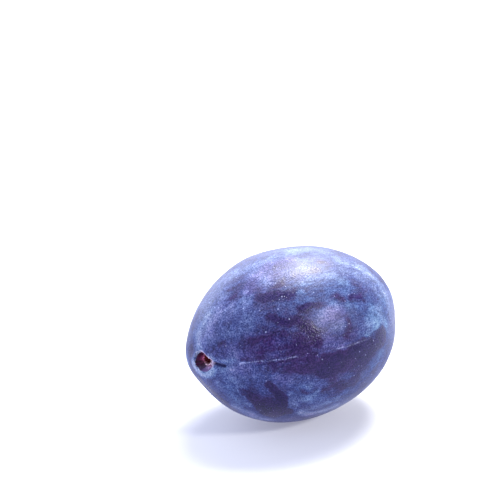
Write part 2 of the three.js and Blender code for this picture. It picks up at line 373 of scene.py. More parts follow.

# Where leaves, twigs and fingers rubbed the bloom off, and where two marks, noted below, darken it as
# painted shade
RUBBED_AND_PAINTED_SHADE = {
    # Top
    "beside the socket": ([(17, 38), (21, 46)], 0.9, 0.9, 1.6, 0.4),
    "stalk end, far side": ([(28, -24), (34, -22)], 0.9, 0.9, 3.0, 0.4),
    "under the brow": ([(36, 2), (44, 8)], 0.7, 0.8, 2.0, 0.45),
    "brow, stalk side": ([(42, 4), (45, 3), (48, 2)], 1.1, 0.8, 2.0, 0.5),
    "brow, far side": ([(46, -6), (50, -1), (52, 2)], 1.0, 0.9, 2.4, 0.6),
    "beside the brow": ([(46, 11), (49, 15), (54, 19)], 0.7, 0.7, 2.0, 0.45),
    "behind the brow": ([(42, -22), (50, -16), (57, -12)], 0.9, 1.0, 3.2, 0.4),
    "upper band": ([(52, 25), (57, 30), (62, 34), (66, 36)], 1.0, 1.2, 2.2, 0.95),
    "crown, stalk side": ([(60, 24), (64, 26)], 1.1, 1.1, 2.6, 0.6),
    "under the upper band": ([(60, 36), (64, 45)], 0.8, 0.9, 2.2, 0.45),
    "crown, stalk end": ([(63, 20), (66, 17)], 0.8, 0.8, 2.4, 0.4),
    "crown, seam side": ([(70, 35), (73, 38)], 0.8, 0.8, 2.4, 0.45),
    "crown": ([(74, 24), (80, 25), (86, 27)], 1.6, 1.6, 2.4, 0.5),
    "crown, tip side": ([(91, 20), (94, 24)], 1.0, 1.0, 2.6, 0.6),
    "far shoulder, near side": ([(115, 31), (119, 34)], 0.8, 0.8, 2.4, 0.5),
    "far shoulder": ([(118, 330), (126, 340), (132, 352)], 1.0, 1.4, 2.4, 0.6),
    # Cheek
    "above the red cheek": ([(36, 51), (43, 55)], 0.7, 0.7, 2.2, 0.35),
    "cheek, stalk side": ([(37, 46), (42, 50), (46, 55)], 0.8, 0.8, 2.2, 0.35),
    "red cheek": ([(32, 64), (38, 65), (46, 66), (54, 68), (62, 72)], 2.0, 2.2, 1.4, 0.55),
    "inner cheek": ([(50, 45), (53, 51), (59, 55), (63, 55)], 0.9, 1.1, 2.4, 0.75),
    "inner cheek, seam side": ([(57, 48), (61, 54), (67, 62)], 0.9, 1.0, 2.4, 0.45),
    "inner cheek, tip side": ([(63, 60), (67, 65), (69, 74)], 1.2, 1.4, 2.4, 0.85),
    "before the glow": ([(64, 64), (68, 65), (71, 68)], 1.2, 0.9, 2.4, 0.7),
    "middle band": ([(65, 48), (69, 49), (74, 51)], 0.8, 1.0, 1.8, 0.8),
    "upper edge of the glow": ([(76, 52), (79, 54), (82, 56)], 0.8, 0.7, 2.2, 0.65),
    "glow, tip side": ([(88, 66), (87, 71), (85, 75)], 0.9, 0.9, 2.4, 0.65),
    "above the glow": ([(83, 49), (87, 51), (90, 53)], 0.9, 0.9, 2.4, 0.6),
    "beside the double dot": ([(88, 76), (92, 74)], 0.8, 0.8, 2.2, 0.45),
    "before the patch": ([(94, 53), (98, 55), (101, 55)], 0.9, 0.9, 2.4, 0.65),
    "middle of the patch": ([(103, 75), (106, 75)], 0.8, 0.8, 2.2, 0.35),
    "shoulder": ([(101, 45), (105, 48), (108, 52)], 1.2, 1.2, 3.0, 0.35),
    # Seam
    "red cheek by the seam": ([(30, 78), (38, 80), (46, 81), (54, 81), (64, 82)], 1.2, 1.6, 1.6, 0.6),
    "under the cheek": ([(48, 90), (57, 92), (64, 91), (71, 92), (77, 92)], 1.4, 2.4, 2.8, 0.62),
    "tip band": ([(72, 92), (82, 92), (90, 90), (97, 88), (104, 86), (111, 84)], 2.6, 2.2, 1.6, 1.0),
    "end of the tip band": ([(95, 90), (100, 93), (104, 98)], 1.4, 1.2, 3.2, 0.5),
    "beyond the tip band": ([(111, 93), (116, 92)], 1.0, 1.0, 3.0, 0.4),
    # Belly
    "slot, low side": ([(22, 106), (26, 100)], 0.9, 0.9, 2.0, 0.35),
    "fork, web": ([(36, 119), (41, 122), (46, 126), (50, 131)], 1.0, 1.4, 2.4, 0.6),
    "fork, lower prong": ([(32, 125), (38, 129), (43, 133), (49, 137), (55, 141)], 1.0, 2.2, 1.2, 1.0),
    "fork, upper prong": ([(42, 105), (46, 111), (50, 116), (53, 121), (55, 128)], 0.6, 1.4, 0.8, 1.0),
    "fork, palm": ([(49, 133), (54, 134), (59, 136)], 1.4, 1.5, 1.4, 0.85),
    "low spot": ([(63, 122), (66, 123)], 0.8, 0.8, 1.6, 0.4),
    "belly spot": ([(62, 111), (66, 112), (68, 108)], 0.8, 1.0, 1.4, 0.6),
    "tip band, lower prong": ([(73, 112), (78, 106), (82, 103)], 1.1, 1.1, 2.2, 0.6),
    "tip band, lower edge": ([(77, 101), (84, 102), (91, 101), (98, 97), (106, 92)], 2.0, 1.6, 3.0, 0.6),
    "below the tip band": ([(84, 108), (92, 106), (98, 103)], 2.4, 2.0, 3.2, 0.5),
    # Tip
    "beyond the tip": ([(142, 124), (150, 150), (152, 185)], 1.3, 0.9, 2.4, 0.65),
    # Partly the dark scar where the flower dried off, partly painted shade about the pit's hollow
    "scar and painted shade about the tip's pit": ([(177, 0), (177, 90), (177, 180), (177, 270)], 0.5, 0.5, 1.0, 0.9),
    # Back and underside
    # Painted reflection and shade: darkens the bloom near the outline behind the socket, where the rim
    # mirrors dark surroundings
    "dark reflection behind the socket": ([(17, 285), (18, 260), (20, 235)], 1.3, 1.4, 2.4, 0.5),
    "under the socket": ([(21, 212), (23, 197), (27, 183), (33, 175), (40, 170)], 0.8, 1.4, 0.8, 1.0),
    "back, low": ([(50, 205), (60, 210), (68, 206)], 1.2, 1.6, 1.5, 0.6),
    "back, finger": ([(56, 280), (64, 288), (75, 294)], 0.7, 1.1, 2.0, 0.75),
    "back, palm": ([(68, 232), (76, 240), (84, 242), (94, 250)], 1.6, 2.2, 3.0, 0.75),
    "back, second finger": ([(84, 272), (90, 279), (101, 286)], 1.0, 0.7, 2.0, 0.7),
    "underside": ([(84, 170), (96, 176), (108, 172)], 2.0, 1.8, 3.0, 0.65),
    "back, by the tip": ([(126, 248), (134, 262), (138, 280)], 1.4, 0.9, 2.4, 0.7),
}

# Where the bloom lies thick, and where a few marks, noted below, lay paler bloom as a painted highlight
THICK_AND_PAINTED_HIGHLIGHT = {
    # Socket
    "flame over the socket": ([(8, -26), (10, -30), (14, -33)], 0.6, 0.4, 0.8, 0.8),
    # Partly painted highlight: paler bloom along the slot's upper edge, where it catches the light
    "above the slot": ([(7, 50), (9, 66), (10, 74), (12, 77), (15, 79), (19, 81)], 0.65, 0.35, 0.8, 1.0),
    # Top
    "over the socket": ([(15, 2), (17, 10)], 1.4, 1.4, 2.4, 0.6),
    "stalk-end cheek, seam side": ([(18, 8), (24, 25), (29, 42)], 1.6, 1.6, 2.6, 0.45),
    "stalk-end cheek": ([(15, 0), (20, -15), (28, -5), (36, 5)], 1.6, 2.0, 3.0, 0.7),
    "beyond the crest": ([(25, 8), (31, 11), (36, 14)], 1.2, 1.0, 2.8, 0.55),
    "before the upper band": ([(33, 40), (37, 46)], 1.0, 0.9, 2.4, 0.4),
    "brow, far side": ([(40, -9), (43, -4)], 0.8, 0.8, 2.0, 0.5),
    "crest of the brow": ([(44, 16), (47, 14), (50, 11)], 0.5, 0.7, 1.2, 0.6),
    "below the brow": ([(45, 22), (49, 18)], 1.0, 1.0, 2.4, 0.5),
    "crown, stalk side": ([(61, 16), (63, 10), (62, 3)], 1.4, 1.5, 3.0, 0.75),
    "crown, far side": ([(64, 5), (68, 3)], 1.0, 1.0, 2.6, 0.4),
    "under the crown, stalk side": ([(67, 37), (70, 38)], 0.8, 0.8, 2.0, 0.35),
    "crown, upper side": ([(72, 22), (80, 22), (89, 25)], 1.2, 1.3, 3.2, 0.4),
    "ridge": ([(64, -6), (72, -5), (80, -2), (94, 2), (104, 8)], 1.8, 2.4, 4.4, 0.6),
    # Partly painted highlight: paler bloom where the top highlight hazes out below the crown
    "under the crown": ([(74, 29), (82, 32), (90, 35), (96, 38)], 1.4, 1.6, 2.8, 0.45),
    "above the crown": ([(83, 12), (88, 16), (94, 14)], 1.2, 1.2, 3.0, 0.5),
    "far crown rim": ([(88, 11), (98, 15), (105, 20)], 0.9, 0.9, 2.8, 0.4),
    "far top": ([(100, 33), (104, 35), (108, 37)], 1.1, 1.1, 2.6, 0.7),
    "far shoulder": ([(104, 25), (112, 28), (119, 36), (123, 46), (124, 54)], 1.1, 1.8, 3.2, 0.9),
    # Cheek
    "above the slot, wide": ([(14, 78), (20, 74), (26, 66), (30, 58)], 0.8, 1.2, 1.6, 0.45),
    "red cheek, stalk end": ([(25, 68), (31, 70)], 1.1, 1.1, 3.2, 0.4),
    "cheek by the socket": ([(29, 60), (31, 60)], 1.0, 1.0, 2.0, 0.5),
    "middle of the cheek": ([(50, 66), (55, 68)], 1.1, 1.1, 2.6, 0.55),
    "over the middle band": ([(69, 47), (73, 46)], 0.8, 0.8, 2.0, 0.45),
    # Partly painted highlight: these three marks lay paler bloom where the side softbox's highlight
    # falls
    "glow": ([(70, 62), (76, 58), (83, 55)], 1.1, 1.1, 2.8, 0.6),
    "low side of the glow": ([(79, 68), (82, 68)], 0.9, 0.9, 2.4, 0.55),
    "glow, tip side": ([(90, 58), (93, 50)], 0.9, 0.9, 2.4, 0.45),
    "beyond the glow": ([(96, 58), (98, 62)], 1.2, 1.2, 2.4, 0.3),
    "patch by the tip": ([(103, 71), (107, 75)], 2.0, 2.0, 3.2, 0.85),
    "patch, upper side": ([(106, 63), (109, 65), (113, 66)], 1.2, 1.2, 2.6, 0.6),
    "far rim": ([(112, 66), (114, 74), (116, 78)], 1.2, 1.1, 2.6, 0.7),
    "far rim, upper side": ([(117, 50), (118, 55)], 1.0, 1.0, 2.6, 0.7),
    "far rim, tip side": ([(123, 58), (125, 64), (125, 70)], 0.9, 0.9, 2.8, 0.7),
    # Seam
    "beyond the slot": ([(16, 94), (21, 94)], 0.7, 0.7, 2.0, 0.8),
    "knot in the seam": ([(27, 83), (31, 82)], 0.45, 0.4, 1.0, 0.85),
    "stalk-end seam, low side": ([(26, 94), (34, 93)], 0.8, 0.8, 2.8, 0.4),
    "along the seam": ([(34, 83), (42, 82), (50, 81), (58, 81)], 0.45, 0.35, 1.1, 0.6),
    "by the seam": ([(43, 79), (50, 79)], 0.7, 0.7, 1.8, 0.5),
    "seam, tip side": ([(77, 80), (82, 80)], 0.6, 0.5, 1.4, 0.35),
    "patch, lower side": ([(99, 79), (104, 81)], 0.9, 0.9, 1.8, 0.8),
    "end of the tip band": ([(97, 106), (104, 99), (110, 94), (115, 88)], 1.2, 1.2, 3.4, 0.4),
    # Belly
    "below the slot": ([(11, 104), (16, 100), (22, 96)], 0.6, 0.6, 1.4, 0.4),
    "under the socket, seam side": ([(18, 122), (22, 128)], 0.9, 0.9, 3.0, 0.45),
    "below the slot, wide": ([(14, 98), (20, 100), (28, 103)], 1.2, 1.1, 2.4, 0.5),
    "stalk end, low side": ([(21, 147), (24, 144)], 0.8, 0.8, 2.2, 0.4),
    "before the fork": ([(22, 112), (29, 119)], 1.0, 1.1, 2.6, 0.6),
    "under the socket": ([(19, 146), (24, 130), (29, 146), (34, 150)], 1.4, 1.1, 2.0, 0.5),
    "fork, stalk side": ([(26, 131), (31, 128)], 0.9, 0.9, 2.4, 0.6),
    "under the seam": ([(31, 102), (39, 98), (47, 96)], 1.1, 0.8, 2.8, 0.45),
    "lower side of the fork": ([(38, 143), (41, 141)], 0.8, 0.8, 2.0, 0.35),
    "lower rim": ([(40, 163), (48, 157), (53, 160), (58, 157)], 1.6, 1.6, 2.4, 1.0),
    "bottom rim": ([(46, 158), (52, 155), (60, 152), (68, 148)], 0.8, 0.8, 2.6, 0.6),
    "beyond the fork": ([(57, 114), (59, 121), (61, 127)], 0.8, 1.0, 0.8, 0.5),
    "seamward belly": ([(56, 103), (60, 106), (63, 110)], 1.0, 1.0, 2.6, 0.45),
    "belly, stalk side": ([(61, 107), (64, 109)], 0.8, 0.8, 2.0, 0.45),
    "belly": ([(66, 108), (70, 115), (63, 119)], 1.1, 1.2, 2.2, 0.5),
    "low belly, middle": ([(73, 121), (78, 125)], 1.0, 1.0, 2.4, 0.35),
    "low belly": ([(68, 133), (75, 127), (84, 123)], 1.1, 1.3, 1.2, 0.55),
    "lowest belly": ([(68, 135), (73, 137), (80, 136), (88, 133)], 1.1, 1.2, 2.0, 1.0),
    "tip band, lower edge": ([(82, 103), (86, 103)], 1.2, 1.2, 2.2, 0.4),
    # Tip
    "about the tip": ([(150, 40), (156, 60), (156, 90)], 1.6, 1.6, 1.4, 0.5),
    # Back and underside
    "stalk end, far side": ([(11, -38), (18, -36), (23, -29), (28, -17)], 1.5, 1.6, 3.0, 0.85),
    "back, stalk end": ([(24, 250), (34, 262), (44, 268)], 1.6, 2.0, 3.6, 0.5),
    "behind the brow": ([(22, 322), (34, 328), (46, 334), (58, 340)], 1.8, 2.2, 2.6, 0.4),
    "back, over the palm": ([(58, 262), (68, 266), (80, 264)], 1.8, 2.2, 4.0, 0.45),
    "back, by the keel": ([(84, 210), (94, 214), (106, 210)], 1.8, 1.6, 1.6, 0.5),
    "back, upper": ([(96, 300), (104, 306), (112, 316)], 1.8, 1.6, 1.4, 0.6),
    "back, low": ([(104, 232), (114, 226), (124, 222)], 1.8, 1.4, 3.6, 0.45),
}

# Where the skin under the bloom is redder, and where a few marks, noted below, paint warm highlights and
# the floor's reflection as redder skin
RUDDY_AND_PAINTED_LIGHT = {
    # Socket
    "over the socket": ([(7, 40), (12, 46)], 0.9, 1.0, 2.4, 0.7),
    # Top
    "top of the stalk end": ([(14, 0), (20, 8), (28, 8), (38, 4)], 2.0, 2.0, 3.6, 0.8),
    "beside the brow": ([(45, 21), (48, 24)], 1.2, 1.2, 3.0, 0.8),
    # Partly painted highlight: these four marks give the top highlight its warm, pinkish tint
    "crown, stalk end": ([(62, 14), (68, 16)], 1.4, 1.4, 3.2, 1.0),
    "crown, stalk side": ([(54, 13), (62, 8), (70, 8), (78, 12)], 2.2, 2.2, 3.4, 1.0),
    "crown": ([(62, 18), (68, 22), (74, 25)], 1.6, 1.6, 2.0, 0.6),
    "far crown": ([(90, 17), (95, 23)], 1.4, 1.4, 1.6, 0.4),
    # Cheek
    "stalk-end cheek": ([(14, 60), (20, 55), (28, 55), (36, 58)], 1.4, 1.8, 3.6, 0.7),
    "red cheek": ([(31, 66), (44, 67), (54, 70), (62, 74)], 2.4, 2.6, 2.0, 1.0),
    "inner cheek": ([(56, 58), (64, 60)], 1.6, 1.6, 2.0, 0.5),
    # Partly painted highlight: these two marks give the side softbox's highlight its pinkish tint
    "glow, low side": ([(70, 62), (76, 67), (80, 68)], 1.4, 1.4, 3.0, 0.6),
    "glow": ([(68, 63), (76, 60), (84, 60)], 1.8, 2.0, 2.4, 0.9),
    "by the dots": ([(70, 70), (76, 76), (88, 76)], 1.8, 1.6, 3.0, 0.9),
    # Seam
    "under the slot": ([(24, 92), (32, 92)], 1.2, 1.2, 3.0, 0.7),
    "above the seam": ([(38, 76), (50, 78), (60, 79), (70, 80)], 1.4, 1.8, 3.2, 1.0),
    "red cheek, seam side": ([(38, 76), (46, 76), (58, 80), (70, 84), (80, 84)], 1.4, 2.4, 3.4, 1.0),
    "under the cheek": ([(56, 88), (66, 88), (72, 86)], 1.8, 1.8, 2.0, 1.0),
    "tip band": ([(68, 80), (76, 90), (86, 95)], 1.8, 1.8, 2.4, 0.6),
    # Belly
    "fork": ([(42, 128), (50, 136), (56, 148)], 1.6, 1.8, 3.0, 0.6),
    "above the fork": ([(48, 100), (54, 100)], 1.4, 1.4, 3.0, 0.6),
    # Partly painted reflection: redder skin along the bottom rim, where it mirrors the white floor
    "bottom rim": ([(50, 156), (58, 153), (68, 148), (76, 142)], 1.2, 1.2, 3.0, 0.9),
    "tip band, lower edge": ([(80, 101), (86, 100)], 1.4, 1.4, 3.2, 0.7),
    # Back and underside
    "back": ([(60, 250), (75, 258), (90, 262)], 3.0, 3.0, 3.0, 0.8),
    "back, upper": ([(78, 312), (90, 318), (100, 316)], 2.4, 2.4, 4.0, 0.8),
}

# Where the bloom is purest blue
AZURE = {
    # Socket
    "around the socket": ([(9, 125), (10, 150), (10, 180), (9, 210)], 1.0, 1.0, 2.4, 0.6),
    "socket, upper side": ([(10, 330), (12, 350)], 0.9, 0.9, 2.4, 0.5),
    "above the slot": ([(9, 72), (15, 80), (22, 83)], 0.8, 0.8, 1.2, 0.5),
    # Top
    "below the brow": ([(44, 20), (50, 24)], 1.4, 1.4, 3.0, 0.8),
    "upper cheek": ([(56, 35), (62, 40), (68, 46), (76, 53)], 1.2, 1.6, 3.0, 0.8),
    "under the crown": ([(65, 34), (72, 44), (80, 43)], 1.2, 1.6, 3.2, 1.0),
    "crown, seam side": ([(74, 37), (80, 40)], 1.4, 1.4, 3.2, 0.8),
    "below the crown": ([(70, 40), (79, 43), (88, 45), (98, 47)], 2.2, 2.0, 4.0, 1.0),
    # Cheek
    "below the upper band": ([(52, 40), (56, 52)], 1.2, 1.2, 3.0, 0.6),
    "beside the glow": ([(84, 52), (90, 57), (96, 60)], 1.4, 1.6, 3.2, 1.0),
    "patch, upper side": ([(92, 55), (100, 57), (107, 60)], 1.6, 1.6, 3.4, 1.0),
    "patch by the tip": ([(92, 60), (103, 66), (109, 72), (106, 80)], 1.4, 2.4, 3.4, 0.9),
    # Seam
    "beside the slot": ([(12, 98), (18, 94), (24, 90)], 0.8, 0.8, 2.4, 0.4),
    "tip band": ([(84, 106), (94, 98), (102, 94), (108, 88)], 1.8, 1.6, 3.4, 0.8),
    "below the patch": ([(98, 83), (104, 81), (110, 79)], 1.6, 1.6, 3.2, 1.0),
    "around the tip band": (
        [(119, 62), (116, 76), (113, 90), (106, 102), (98, 110), (90, 118)],
        1.6, 2.4, 3.4, 1.0,
    ),
    # Belly
    "under the socket": ([(22, 132), (28, 142), (34, 150)], 1.6, 1.6, 3.0, 0.6),
    "belly": ([(60, 110), (68, 116), (80, 118)], 1.8, 2.0, 3.0, 0.5),
    # Back and underside
    "back, stalk end": ([(30, 240), (42, 246), (54, 250)], 2.0, 2.4, 4.0, 0.7),
    "back": ([(98, 262), (110, 258), (122, 262)], 2.4, 2.4, 4.0, 0.8),
}

# Dots, scratches and specks of pale cork
CORK = {
    "specks by the crown": ([(58, 34), (66, 36), (76, 42)], 1.4, 1.4, 2.0, 0.45),
    "specks on the cheek": ([(60, 66), (67, 70), (75, 76)], 1.8, 1.8, 2.4, 0.5),
    "dot below the seam": ([(65, 86), (65, 87)], 0.3, 0.3, 0.3, 0.9),
    "crescent": ([(67, 85), (68, 86), (69, 85)], 0.1, 0.1, 0.3, 0.7),
    "first dot": ([(77, 82), (77, 83)], 0.3, 0.3, 0.3, 1.0),
    "double dot": ([(81, 82), (83, 82)], 0.2, 0.2, 0.3, 0.9),
    "tail of the dots": ([(84, 82), (87, 81)], 0.1, 0.1, 0.3, 0.6),
    "chip under the fork": ([(53, 146), (54, 147)], 0.2, 0.2, 0.3, 0.8),
    "scratch": ([(55, 140), (57, 142)], 0.15, 0.15, 0.25, 0.9),
    "specks under the fork": ([(52, 147), (60, 144)], 1.2, 1.0, 1.2, 0.55),
    "specks under the tip band": ([(78, 103), (86, 101), (94, 98)], 0.9, 0.8, 1.4, 0.55),
}

# How plainly the seam shows at these places down the fruit: as pale cork (+), or as painted shade
# darkening its crease (-)
SEAM_SHOWS = {
    10: -0.6, 17: -0.5, 23: -0.2, 26: 0.7, 29: 1.0, 33: 0.4, 39: 0.5, 44: 0.7, 48: 0.7, 53: 0.4,
    59: 0.2, 63: 0.0, 74: 0.0, 77: 0.7, 86: 0.6, 91: 0.4, 100: 0.0, 150: -0.3, 175: -0.8,
}


def ragged(places):
    """The places moved a little to and fro, so that a mark laid on them gets an uneven outline."""
    noise.seed_set(SWIRL_SEED)
    flat = places.reshape(-1, 3)
    moves = [
        reach * np.array([noise.noise_vector(Vector(place) / size) for place in flat])
        for size, reach in SWIRLS
    ]
    return places + sum(moves).reshape(places.shape)


def cover(marks, places):
    """How much the marks cover each place, from 0 to 1."""
    covered = np.zeros(places.shape[:2])
    for way, first_width, last_width, edge, strength in marks.values():
        share = np.linspace(0, 1, DABS_PER_PLACE * len(way))
        at = share * (len(way) - 1)
        down, round_ = (np.interp(at, range(len(way)), angles) for angles in zip(*way))
        dabs = skin_place(np.radians(down), np.radians(round_))
        widths = first_width + (last_width - first_width) * share
        for dab, width in zip(dabs, widths):
            inside = width - np.linalg.norm(places - dab, axis=-1)
            covered = np.maximum(covered, strength * smooth_step(inside, -edge / 2, edge / 2))
    return covered


# -------------------- the mesh


def ring_faces(rings):
    """Quads between neighbouring rings, facing out, and a fan of triangles at each end."""
    ring, turn = np.meshgrid(np.arange(1, rings - 1), np.arange(AROUND), indexing="ij")
    after = (turn + 1) % AROUND
    first = 1 + (ring - 1) * AROUND
    outer = first + AROUND
    quads = np.stack([first + turn, first + after, outer + after, outer + turn], -1)
    turn = np.arange(AROUND)
    after = (turn + 1) % AROUND
    last = 1 + (rings - 2) * AROUND
    tip = last + AROUND
    stalk_fan = np.stack([np.zeros(AROUND, int), 1 + after, 1 + turn], -1)
    tip_fan = np.stack([last + turn, last + after, np.full(AROUND, tip)], -1)
    return [*stalk_fan.tolist(), *quads.reshape(-1, 4).tolist(), *tip_fan.tolist()]


def per_vertex(values):
    """One value or row for each vertex of the rings: the first ring is a single vertex."""
    return np.concatenate([values[0, :1], values[1:].reshape(-1, *values.shape[2:])])


def make_plum():
    places, direction, facts = fruit_rings()
    bare = facts["socket_radius"] < facts.pop("torn_edge")
    uneven = ragged(places)
    marks = {
        "rubbed_and_painted_shade": cover(RUBBED_AND_PAINTED_SHADE, uneven),
        "thick_and_painted_highlight": cover(THICK_AND_PAINTED_HIGHLIGHT, uneven),
        "ruddy_and_painted_light": cover(RUDDY_AND_PAINTED_LIGHT, uneven),
        "azure": cover(AZURE, uneven),
        "cork": cover(CORK, places),
        "seam_shows": np.interp(facts.pop("down"), list(SEAM_SHOWS), list(SEAM_SHOWS.values())),
    }
    places = press_flat(weather(places, direction, facts))
    tip = places[-1].mean(axis=0)
    vertices = np.concatenate([per_vertex(places), [tip]])
    mesh = bpy.data.meshes.new("plum")
    mesh.from_pydata((vertices * MM).tolist(), [], ring_faces(len(places)))
    for name, values in {**facts, **marks}.items():
        column = per_vertex(values)
        attribute = mesh.attributes.new(name, "FLOAT", "POINT")
        attribute.data.foreach_set("value", np.append(column, column[-1]).astype(np.float32))
    mesh.polygons.foreach_set("use_smooth", [True] * len(mesh.polygons))
    mesh.materials.append(plum_skin())
    mesh.materials.append(torn_flesh())
    slots = np.zeros(len(mesh.polygons), dtype=np.int32)
    slots[:-AROUND] = bare[:-1].ravel()
    mesh.polygons.foreach_set("material_index", slots)
    mesh.update()
    plum = bpy.data.objects.new("plum", mesh)
    bpy.context.collection.objects.link(plum)
    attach(plum, "root")
    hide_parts("plum_fruit")


# -------------------- materials
#
# Where inputs have numbers, MapRange turns values from 1 to 2 into values from 3 to 4, Mix goes
# from 6 to 7 by the share in 0, and MULTIPLY_ADD takes 0 times 1 plus 2.

# Sizes of the patterns in the bloom and skin, in millimetres
PATCH = 4.5
STREAK = 1.4
BRUSHED = 0.4  # fine lines along the fruit, where leaves and fingers brushed the wax
GRAIN = 0.3  # wax grains are finer than this, and are drawn as coarse as they need to show
PORE_SPACING = 0.95
FLECK_SPACING = 0.6
SKIN_RELIEF = 0.06
# What a place is multiplied by, so that these patterns are drawn out along the fruit
STREAKS_ALONG = (0.45, 1, 1)
BRUSHED_ALONG = (0.15, 1, 1)
MOST_NOISE = {1: 0.3, 2: 0.7}  # nearly all of a pattern's values lie between these

# What makes the bloom thicker or thinner, from bare (0) to thickest (1), with the painted highlight and
# shade that some marks carry
PATCH_BLOOM = {3: -0.02, 4: 0.23}
STREAK_BLOOM = 0.35
BRUSHED_BLOOM = 0.3
THICK_AND_PAINTED_HIGHLIGHT_BLOOM = 0.42
HALO_BLOOM = 0.48
WORN_AND_PAINTED_SHADE_BLOOM = -0.36
FRAY = 1.3  # how far the streaks fray the edges of rubbed places

# Colours of the skin and its bloom, by how thick the bloom lies
BLOOM_SHADES = {0: "#1a0c41", 0.25: "#230e47", 0.5: "#374277", 0.75: "#64759f", 1: "#aeb6c6"}
FROST = "#7f82a6"
CORK_SHADE = "#b4bbe4"
# Painted shade: the colour that darkens the slot and the seam's crease
CREASE_PAINTED_SHADE = "#34335e"
CUT_EDGE_SHADE = "#e9d3e4"
# What these do to the red, green and blue of the skin
# Reddens ruddy skin, and tints the warm highlights and reflection that some ruddy marks paint
RUDDY_AND_PAINTED_LIGHT_TINT = (1.4, 0.85, 1.0, 1.0)
AZURE_TINT = (0.78, 1.06, 1.04, 1.0)
GAP_TINT = (0.2, 0.27, 0.5, 1.0)  # between the grains the dark blue skin shows through...
GRAIN_TINT = (1.6, 1.48, 1.25, 1.0)  # ...and the grains scatter whiter light

SEAM_LINE_HALF_WIDTH = 0.16
SEAM_CORK = 0.7  # how solid the seam's cork is

# Torn flesh, in bands out from the middle of the pit, each as a part of the way to FLESH_REACH
FLESH_REACH = 2.8
FLESH_BANDS = (0, 0.42, 0.5, 0.58, 0.67, 0.84)
# Lit and shaded copies of the flesh's colours: painted highlight on one side of the socket, painted
# shade on the other
PAINTED_LIT_FIBRE_SHADES = ("#360406", "#58181a", "#f0cad0", "#a46c80", "#a286a6", "#62507a")
PAINTED_SHADED_FIBRE_SHADES = ("#360406", "#641a1e", "#b8607a", "#942e58", "#742648", "#46193a")
FLESH_GRAIN = 1 / 3
FLESH_WOBBLE = 0.6

# Half the floor's width in metres, and how its glow grows away from the fruit
FLOOR_HALF = 0.6
FLOOR_GLOW = {1: 0.2, 2: 0.5, 3: 0.36, 4: 1.3}


def linear(hex_colour):
    """Linear red, green, blue and alpha of an sRGB colour such as '#2a3b4c'."""
    parts = [int(hex_colour[i:i + 2], 16) / 255 for i in (1, 3, 5)]
    return [c / 12.92 if c <= 0.04045 else ((c + 0.055) / 1.055) ** 2.4 for c in parts] + [1]


def add_node(tree, kind, inputs=None, output=0, **settings):
    """Adds one node and returns one of its outputs. Settings are the node's own; inputs gives its
    sockets, by name or number, a value or the output of another node."""
    node = tree.nodes.new("ShaderNode" + kind)
    for name, value in settings.items():
        setattr(node, name, value)
    for key, value in (inputs or {}).items():
        if isinstance(value, bpy.types.NodeSocket):
            tree.links.new(value, node.inputs[key])
        else:
            node.inputs[key].default_value = value
    return node.outputs[output] if len(node.outputs) else None


# Settings and output of a Mix node for colours
COLOURS = {"output": 2, "data_type": "RGBA"}


def new_material(name):
    material = bpy.data.materials.new(name)
    material.use_nodes = True
    material.node_tree.nodes.clear()
    return material, partial(add_node, material.node_tree)


